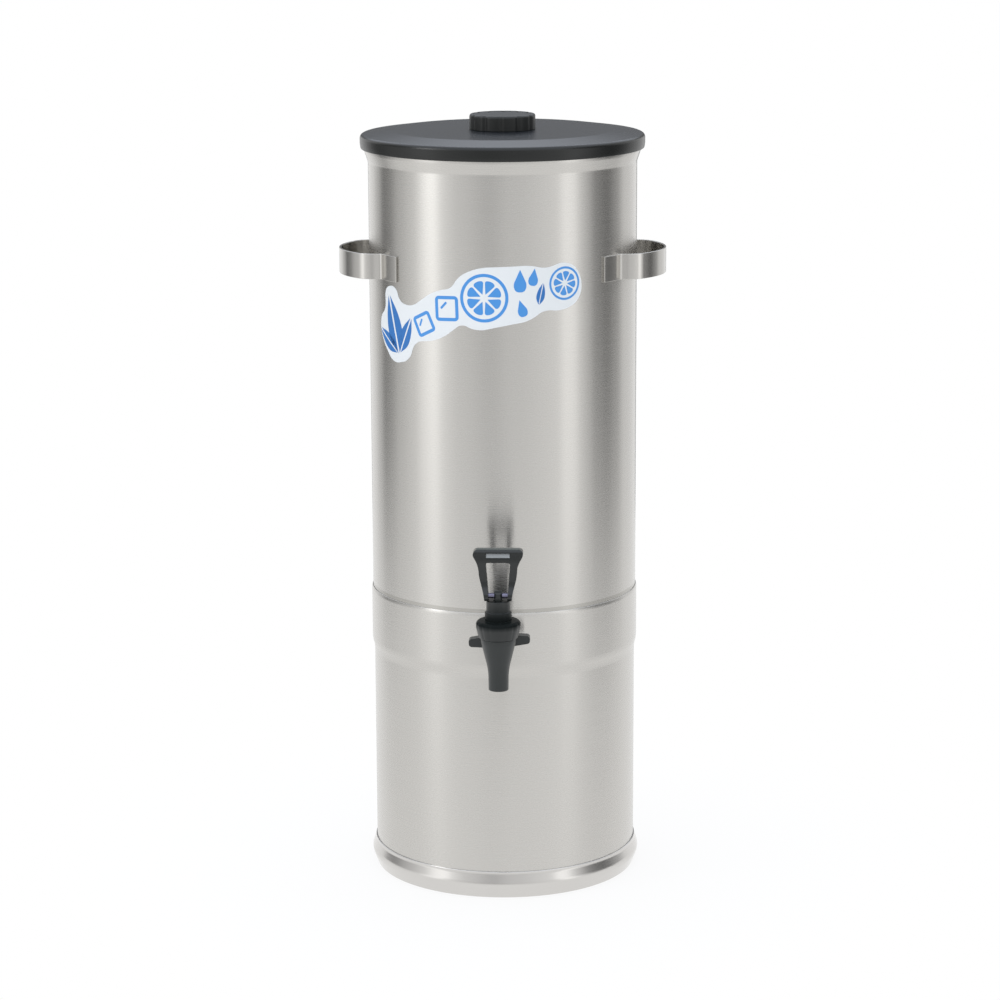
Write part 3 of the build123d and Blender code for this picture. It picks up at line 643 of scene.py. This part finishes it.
def lid():
    """The moulded cover: a flat top, a sloped ring, a rim over the mouth and a plug inside it."""
    outline = [
        (3.2, 672.5),
        (98.0, 672.5, 1.6),
        (124.3, 668.9, 1.2),
        (126.0, 666.9, 1.4),
        (126.0, 660.7, 2.0),
        (125.3, 656.7, 0.7),
        (123.0, 656.7, 0.4),
        (123.0, 667.0, 0.8),
        (115.4, 667.0, 0.8),
        (115.4, 650.5, 1.2),
        (112.2, 650.5, 1.0),
        (112.2, 669.0, 1.5),
        (3.2, 669.0),
    ]
    shell = spun(outline, TANK_STEPS, 7)
    piece("lid_cover", shell, "cover", lid_plastic, ["lid"], "lid_plastic", sharp=60.0)


def scalloped(bm, grips, deep, out_from, below, shape):
    """Pulls the rim in at each finger groove, for the points outside a radius and below a
    height. A higher shape makes the grooves narrower."""
    for v in bm.verts:
        radius = hypot(v.co.x, v.co.y)
        if radius > out_from * MM and v.co.z < below * MM:
            groove = 0.5 + 0.5 * cos(grips * atan2(v.co.y, v.co.x))
            pull = 1 - deep * MM * groove**shape / radius
            v.co.x *= pull
            v.co.y *= pull


def lid_knob():
    """Twelve finger grooves round a plain disc, with a soft top edge and a shallow dish on top."""
    outline = [
        (3.0, 672.5),
        (29.3, 672.5, 0.6),
        (29.3, 686.0, 2.2),
        (25.0, 686.0, 0.5),
        (24.2, 685.4, 0.4),
        (0, 685.4),
        (0, 682.5),
        (3.0, 682.5),
    ]
    grip = spun(outline, TANK_STEPS, 6)
    scalloped(grip, grips=12, deep=1.25, out_from=25.5, below=700, shape=6)
    piece("lid_knob_grip", grip, "cover", knob_plastic, ["lid_knob"], "knob_plastic")


def faucet_body():
    """The valve's chamber on its spout, with the inlet's tail behind."""
    barrel = [
        (0, 206.5),
        (8.6, 206.5, 0.5),
        (8.8, 224.0, 6.0),
        (15.2, 250.0, 2.0),
        (15.2, 253.0, 0.6),
        (13.3, 253.0),
        (13.3, 262.2, 0.4),
        (0, 262.2),
    ]
    tail = [
        (0, 138.4),
        (9.4, 138.4, 0.3),
        (9.4, 141.4, 0.4),
        (7.5, 141.4, 0.5),
        (7.5, 167.0),
        (0, 167.0),
    ]
    chamber = [
        (0, 200.0),
        (6.8, 200.0),
        (6.8, 236.0, 0.4),
        (10.2, 239.0, 0.6),
        (10.2, 270.0),
        (0, 270.0),
    ]
    outside = at_faucet(spun(barrel, FAUCET_STEPS))
    outside = combined(outside, [to_front(spun(tail, FAUCET_STEPS))], "UNION")
    room = [at_faucet(spun(chamber, FAUCET_STEPS)), to_front(rod(4.6, 130, 160))]
    body = combined(outside, room, "DIFFERENCE")
    piece(
        "faucet_body_moulded", body, "container", faucet_plastic, ["faucet_body"], "faucet_plastic"
    )


def faucet_bonnet():
    """The screwed cap with shallow grips, and the two-step neck that the handle rocks on."""
    outline = [
        (13.4, 253.3),
        (16.8, 253.3, 0.5),
        (19.3, 262.3, 1.2),
        (19.3, 266.3, 1.0),
        (17.3, 268.3, 0.8),
        (11.6, 268.7, 0.3),
        (11.6, 275.8, 0.5),
        (10.2, 276.8, 0.5),
        (10.2, 286.0, 0.5),
        (4.55, 286.0, 0.3),
        (4.55, 282.0),
        (8.0, 282.0),
        (8.0, 263.8),
        (13.4, 263.8),
    ]
    cap = spun(outline, 2 * FAUCET_STEPS)
    scalloped(cap, grips=16, deep=0.4, out_from=18.2, below=267.2, shape=3)
    piece(
        "faucet_bonnet_cap",
        at_faucet(cap),
        "container",
        shaded_bonnet_plastic,
        ["faucet_bonnet"],
        "faucet_plastic",
    )


def wing_nut():
    """The nut that clamps the faucet to its shank, with two wings to turn it by hand."""
    barrel = [
        (9.6, 127.5, 0.3),
        (12.5, 127.5, 0.8),
        (12.5, 145.4, 1.2),
        (7.6, 145.4, 0.3),
        (7.6, 141.4),
        (9.6, 141.4),
    ]
    wing = [(10.9, -5.0), (26.6, -3.3, 2.3), (26.6, 3.3, 2.3), (10.9, 5.0)]
    wings = [turned_by(prism(wing, 134.95, 143.95, "XY"), turn, "Z") for turn in (0, 180)]
    nut = turned_by(combined(spun(barrel, FAUCET_STEPS), wings, "UNION"), 3.5, "Z")
    piece(
        "wing_nut_moulded",
        to_front(nut),
        "container",
        faucet_plastic,
        ["wing_nut"],
        "faucet_plastic",
        bevel=0.5,
    )


def cam_point(angle):
    """A point of the cam about the pin: its reach grows evenly with the handle's tilt."""
    reach = CAM_START + CAM_LEAD * angle
    across = -reach * sin(angle) - CAM_LEAD * cos(angle)
    return across, -reach * cos(angle) + CAM_LEAD * sin(angle)


def lever_handle():
    """The upright loop: its front outline kept within its side outline, with a dish in the bar."""
    half = [
        (7.8, -5.0),
        (11.6, -5.0),
        (11.6, 0.0, 5.0),
        (16.5, 18.0, 6.0),
        (16.5, 27.0, 6.0),
        (21.5, 36.0, 2.0),
        (21.5, BAR_TOP, 5.0),
    ]
    window = [(-10.6, BAR_LOW, 2.0), (10.6, BAR_LOW, 2.0)]
    front = half + [(-p[0], *p[1:]) for p in reversed(half)] + window
    cam = [cam_point(radians(CAM_END) * i / 12) for i in range(13)]
    toe = cam[-1]
    side = cam[::-1] + [
        (4.5, -3.7, 2.4),
        (4.5, 6.0),
        (3.3, 21.1, 8.0),
        (4.5, BAR_LOW),
        (4.5, BAR_TOP, 2.5),
        (-6.0, BAR_TOP, 3.8),
        (-6.0, BAR_LOW),
        (-4.5, 21.1, 8.0),
        (-4.5, 10.0, 5.0),
        (toe[0] - 0.4, toe[1] + 2.6, 1.5),
    ]
    loop = prism(front, -10, 10, "XZ", 8)
    lever = combined(loop, [prism(side, -23, 23, "YZ", 8)], "INTERSECT")
    dish = prism([(-7.0, 33.35), (-6.0, 33.35), (-4.0, 38.35), (-7.0, 38.35)], -10.5, 10.5, "YZ")
    hole = turned_by(rod(PIN_HOLE, -30, 30), 90, "Y")
    lever = at_pin(combined(lever, [dish, hole], "DIFFERENCE"))
    piece(
        "lever_handle_loop",
        lever,
        "lever",
        lever_plastic,
        ["lever_handle"],
        "lever_plastic",
        bevel=0.4,
    )
    # Painted highlight: a light grey sheet in the dish stands in for the glint of light there.
    painted_glint = prism([(-5.6, 34.35), (-4.2, 37.85), (-4.6, 37.95), (-5.9, 34.6)], -10.1, 10.1, "YZ")
    piece("lever_dish_painted_glint", at_pin(painted_glint), "lever", glint_grey_plastic)


def lever_pin():
    """The cross pin that joins the handle to the stem, its ends just inside the legs."""
    pin = turned_by(rod(PIN_RADIUS, -11.2, 11.2, 48, 0.3), 90, "Y")
    piece("lever_pin_steel", at_pin(pin), "valve", pin_zinc, ["lever_pin"], "steel_bright")


# The sticker's die line and its motifs lie flat, in millimetres along and across its slope.
BACKING = [
    (-97, -36, 8),
    (-75, -36, 8),
    (-65, -20, 7),
    (-38, -22, 10),
    (-15, -11, 5),
    (-4, -20, 8),
    (24, -20, 10),
    (44, -21, 8),
    (58, -14, 7),
    (72, -20, 8),
    (94, -16, 11),
    (99, 6, 9),
    (88, 22, 9),
    (66, 20, 6),
    (54, 26, 6),
    (30, 30, 7),
    (8, 34, 10),
    (-10, 29, 6),
    (-18, 20, 5),
    (-34, 21, 9),
    (-62, 10, 7),
    (-76, 16, 5),
    (-79, 31, 7),
    (-96, 31, 7),
    (-99, 12, 5),
    (-112, 6, 8),
    (-112, -12, 9),
]
LEAF_HALF = [(0.0, 0.5), (7.0, 5.4, 3.6), (17.0, 5.0, 4.4), (27.0, 0.6)]
CUBE = [(-9.5, -9.5, 3.2), (9.5, -9.5, 3.2), (9.5, 9.5, 3.2), (-9.5, 9.5, 3.2)]
GLINT = [(-3.4, -0.9, 0.8), (3.4, -0.9, 0.8), (3.4, 0.9, 0.8), (-3.4, 0.9, 0.8)]
DROP = [(0.0, 9.0), (4.6, -1.0, 2.0), (3.2, -6.0, 2.4), (-3.2, -6.0, 2.4), (-4.6, -1.0, 2.0)]
CUBE_LINE = 2.9
# In a slice's radius: one of its wedges, and the width of the rind
WEDGE = [(0.15, 0.0, 0.03), (0.66, -0.24, 0.1), (0.75, 0.0, 0.12), (0.66, 0.24, 0.1)]
RIND = 0.13


def flat(points, grow=1.0):
    """A flat motif, grown by a factor."""
    part = bmesh.new()
    grown = [tuple(value * grow for value in point) for point in points]
    polygon(part, grown, "XY", 8)
    return part


def rimmed(part, width):
    """Keeps only the rim of a flat motif, so many millimetres wide."""
    border = bmesh.ops.inset_region(
        part, faces=part.faces[:], thickness=width * MM, use_even_offset=True, use_boundary=True
    )["faces"]
    inside = [face for face in part.faces if face not in border]
    bmesh.ops.delete(part, geom=inside, context="FACES")
    return part


def lay(sheet, part, at, turn=0.0):
    """Turns a flat motif, moves it to its place and adds it to a sheet."""
    moved(turned_by(part, turn, "Z"), x=at[0], y=at[1])
    held = bpy.data.meshes.new("motif")
    part.to_mesh(held)
    part.free()
    sheet.from_mesh(held)
    bpy.data.meshes.remove(held)


def lay_leaf(sheet, at, turn, grow):
    """A leaf in two halves, with its vein left white between them."""
    for side in (1, -1):
        half = [(point[0], side * point[1], *point[2:]) for point in LEAF_HALF]
        lay(sheet, flat(half, grow), at, turn)


def lay_slice(sheet, at, turn, radius):
    """A citrus slice: the rind's ring and eight wedges."""
    rind = bmesh.new()
    bmesh.ops.create_circle(rind, cap_ends=True, radius=radius * MM, segments=72)
    lay(sheet, rimmed(rind, RIND * radius), at)
    for i in range(8):
        wedge = turned_by(flat(WEDGE, radius), 45 * i, "Z")
        lay(sheet, wedge, at, turn)


def lay_cube(sheet, at, turn, grow):
    """An ice cube: its outline and a glint in the corner."""
    lay(sheet, rimmed(flat(CUBE, grow), CUBE_LINE), at, turn)
    glint = moved(turned_by(flat(GLINT, grow), 45, "Z"), x=-2.4 * grow, y=2.4 * grow)
    lay(sheet, glint, at, turn)


def wrapped(bm, radius, thickness):
    """Bends a flat sheet round the tank, x along the wall and y up it, and thickens it."""
    step = WRAP_STEP * MM
    bmesh.ops.triangulate(bm, faces=bm.faces[:])
    low = min(v.co.x for v in bm.verts)
    high = max(v.co.x for v in bm.verts)
    for i in range(1, int((high - low) / step) + 1):
        geom = bm.verts[:] + bm.edges[:] + bm.faces[:]
        cut = (low + i * step, 0, 0)
        bmesh.ops.bisect_plane(bm, geom=geom, plane_co=cut, plane_no=(1, 0, 0), dist=1e-8)
    bmesh.ops.recalc_face_normals(bm, faces=bm.faces[:])
    out = bmesh.ops.extrude_face_region(bm, geom=bm.faces[:])
    verts = [g for g in out["geom"] if isinstance(g, bmesh.types.BMVert)]
    bmesh.ops.translate(bm, verts=verts, vec=Vector((0, 0, thickness * MM)))
    for v in bm.verts:
        angle = v.co.x / (radius * MM)
        out_to = radius * MM + v.co.z
        v.co = Vector((out_to * sin(angle), -out_to * cos(angle), v.co.y))
    bmesh.ops.recalc_face_normals(bm, faces=bm.faces[:])
    return bm


def sticker():
    """A die-cut sticker on a rising slope: mint, ice cubes, citrus slices and drops."""
    backing = flat(BACKING)
    blue = bmesh.new()
    lay_cube(blue, (-51.5, -6), 14, 1.0)
    lay_cube(blue, (-26, 4), -10, 1.15)
    lay_slice(blue, (9, 7), 10, 21)
    lay_slice(blue, (81, 3), 25, 14.5)
    lay(blue, flat(DROP, 1.3), (42, 13), -12)
    lay(blue, flat(DROP, 1.0), (54, 14), -20)
    lay(blue, flat(DROP, 1.0), (39, -10), 4)
    deep = bmesh.new()
    lay_leaf(deep, (-87, -28), 94, 1.9)
    lay_leaf(deep, (-85, -27), 54, 1.25)
    lay_leaf(deep, (-89, -27), 134, 1.2)
    lay_leaf(deep, (54, -9), 66, 0.7)
    under = TANK_RADIUS + GLUE
    face = under + VINYL
    for name, sheet, radius, thickness, material in (
        ("sticker_backing", backing, under, VINYL, sticker_white),
        ("sticker_print", blue, face, INK, sticker_blue),
        ("sticker_leaves", deep, face, INK, sticker_deep),
    ):
        moved(turned_by(sheet, STICKER_SLOPE, "Z"), x=STICKER_AT[0], y=STICKER_AT[1])
        piece(name, wrapped(sheet, radius, thickness), "container", material, sharp=60.0)


def cad_pieces():
    """These hidden or plain pieces keep their CAD shapes and take a material."""
    for node, material in {
        "knob_screw": bright_steel,
        "knob_washer": bright_steel,
        "shank": faucet_plastic,
        "outer_washer": seal_rubber,
        "inner_washer": seal_rubber,
        "lock_nut": faucet_plastic,
        "tail_gasket": seal_rubber,
        "valve_stem": faucet_plastic,
        "seat_cup": cup_silicone,
        "return_spring": bright_steel,
    }.items():
        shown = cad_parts[node].data
        shown.materials.clear()
        shown.materials.append(material)


def squashed_pieces():
    """The spring and the cup each get a mesh of their own."""
    for node, top in (("return_spring", SPRING_TOP), ("seat_cup", CUP_TOP)):
        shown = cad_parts[node]
        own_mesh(shown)


def white_paper(tree, seen, shaded):
    """A strength of 1, which is white, wherever the rays that are seen arrive, else shaded."""
    paper = add(tree, "ShaderNodeEmission", {"Color": (1, 1, 1, 1), "Strength": 1.0})
    return add(tree, "ShaderNodeMixShader", links={0: seen, 1: shaded, 2: paper.outputs[0]})


def studio_floor():
    """A round sheet of pale paper: it keeps a soft shadow round the base, and is white beyond
    it, in the steel too."""
    bm = bmesh.new()
    bmesh.ops.create_circle(bm, cap_ends=True, radius=FLOOR_RADIUS, segments=128)
    floor = as_object("studio_floor", bm)
    material = bpy.data.materials.new("studio_paper")
    material.use_nodes = True
    tree = material.node_tree
    tree.nodes.clear()
    place = add(tree, "ShaderNodeTexCoord")
    lengths = {"operation": "LENGTH"}
    far = add(tree, "ShaderNodeVectorMath", lengths, {0: place.outputs["Object"]})
    fade = {"From Min": SHADOW[0], "From Max": SHADOW[1], "To Min": SHADOW_WHITE, "To Max": 1.0}
    beyond = add(tree, "ShaderNodeMapRange", fade, {"Value": far.outputs["Value"]})
    light = add(tree, "ShaderNodeLightPath")
    times = {"operation": "MULTIPLY"}
    direct = {0: light.outputs["Is Camera Ray"], 1: beyond.outputs[0]}
    direct = add(tree, "ShaderNodeMath", times, direct)
    mirrored = {0: light.outputs["Is Glossy Ray"], 1: light.outputs["Is Transmission Ray"]}
    mirrored = add(tree, "ShaderNodeMath", {"operation": "MAXIMUM"}, mirrored)
    seen = {0: direct.outputs[0], 1: mirrored.outputs[0]}
    seen = add(tree, "ShaderNodeMath", {"operation": "MAXIMUM"}, seen)
    paper = add(tree, "ShaderNodeBsdfDiffuse", {"Color": linear("#EDEDED")})
    mix = white_paper(tree, seen.outputs[0], paper.outputs[0])
    add(tree, "ShaderNodeOutputMaterial", links={"Surface": mix.outputs[0]})
    floor.data.materials.append(material)


def studio_room():
    """White behind for the camera. The steel and the plastics see a room with softboxes and
    flags at the sides, which lean to the front as they rise, and a cool bright ceiling."""
    world = bpy.data.worlds.new("studio")
    bpy.context.scene.world = world
    world.use_nodes = True
    tree = world.node_tree
    tree.nodes.clear()
    way = add(tree, "ShaderNodeTexCoord")
    axes = add(tree, "ShaderNodeSeparateXYZ", links={0: way.outputs["Generated"]})
    front = add(tree, "ShaderNodeMath", {"operation": "MULTIPLY", 1: -1.0}, {0: axes.outputs["Y"]})
    sides = {0: axes.outputs["X"], 1: front.outputs[0]}
    azimuth = add(tree, "ShaderNodeMath", {"operation": "ARCTAN2"}, sides)
    lean = {"To Min": 1.0, "To Max": ROOM_LEAN}
    lean = add(tree, "ShaderNodeMapRange", lean, {"Value": axes.outputs["Z"]})
    leaning = {0: azimuth.outputs[0], 1: lean.outputs[0]}
    azimuth = add(tree, "ShaderNodeMath", {"operation": "MULTIPLY"}, leaning)
    turn = {"From Min": -pi, "From Max": pi}
    share = add(tree, "ShaderNodeMapRange", turn, {"Value": azimuth.outputs[0]})
    ramp = add(tree, "ShaderNodeValToRGB", links={"Fac": share.outputs[0]})
    ramp.color_ramp.interpolation = "EASE"
    stops = ramp.color_ramp.elements
    while len(stops) < len(ROOM):
        stops.new(0.5)
    for stop, (angle, level, edge) in zip(stops, ROOM):
        stop.position = (angle + 180) / 360
        stop.color = (level, level, level, edge)
    over = {0: axes.outputs["Z"], 1: ramp.outputs["Alpha"]}
    over = add(tree, "ShaderNodeMath", {"operation": "SUBTRACT"}, over)
    rise = {"From Min": 0.0, "From Max": CEILING_SOFT}
    above = add(tree, "ShaderNodeMapRange", rise, {"Value": over.outputs[0]})
    ceiling = {"data_type": "RGBA", 7: (*CEILING, 1)}
    room = add(tree, "ShaderNodeMix", ceiling, {0: above.outputs[0], 6: ramp.outputs[0]})
    around = add(tree, "ShaderNodeBackground", {"Strength": 1.0}, {"Color": room.outputs[2]})
    light = add(tree, "ShaderNodeLightPath")
    direct = {0: light.outputs["Is Camera Ray"], 1: light.outputs["Is Transmission Ray"]}
    direct = add(tree, "ShaderNodeMath", {"operation": "MAXIMUM"}, direct)
    mix = white_paper(tree, direct.outputs[0], around.outputs[0])
    add(tree, "ShaderNodeOutputWorld", links={"Surface": mix.outputs[0]})


def key_light():
    """A softbox in front of the left one of the room, to model the plastics."""
    lamp = bpy.data.lights.new("key_softbox", "AREA")
    lamp.shape = "RECTANGLE"
    lamp.size = KEY_WIDE
    lamp.size_y = KEY_TALL
    lamp.energy = KEY_POWER
    key = bpy.data.objects.new("key_softbox", lamp)
    key.location = KEY_AT
    aim = Vector(KEY_AIM) - key.location
    key.rotation_euler = aim.to_track_quat("-Z", "Y").to_euler()
    bpy.context.scene.collection.objects.link(key)


def camera():
    """The photograph's viewpoint: 2.78 m away, 12.4 degrees down, with a long lens."""
    azimuth = radians(EYE_AZIMUTH)
    lens = bpy.data.cameras.new("camera")
    lens.sensor_width = 36.0
    lens.lens = EYE_LENS
    lens.clip_start = 0.05
    lens.clip_end = 50
    eye = bpy.data.objects.new("camera", lens)
    bpy.context.scene.collection.objects.link(eye)
    eye.location = (EYE_DISTANCE * sin(azimuth), -EYE_DISTANCE * cos(azimuth), EYE_HEIGHT)
    pan = Matrix.Rotation(azimuth + radians(EYE_PAN), 4, "Z")
    tilt = Matrix.Rotation(radians(90 - EYE_DOWN), 4, "X")
    roll = Matrix.Rotation(radians(EYE_ROLL), 4, "Z")
    eye.rotation_euler = (pan @ tilt @ roll).to_euler()
    bpy.context.scene.camera = eye


tank_wall()
tank_floor()
base_skirt()
base_ring()
strap_handle("right_handle", 1)
strap_handle("left_handle", -1)
lid()
lid_knob()
faucet_body()
faucet_bonnet()
wing_nut()
lever_handle()
lever_pin()
sticker()
cad_pieces()
squashed_pieces()
studio_floor()
studio_room()
key_light()
camera()
bpy.context.scene.view_settings.view_transform = "Standard"
bpy.context.view_layer.update()
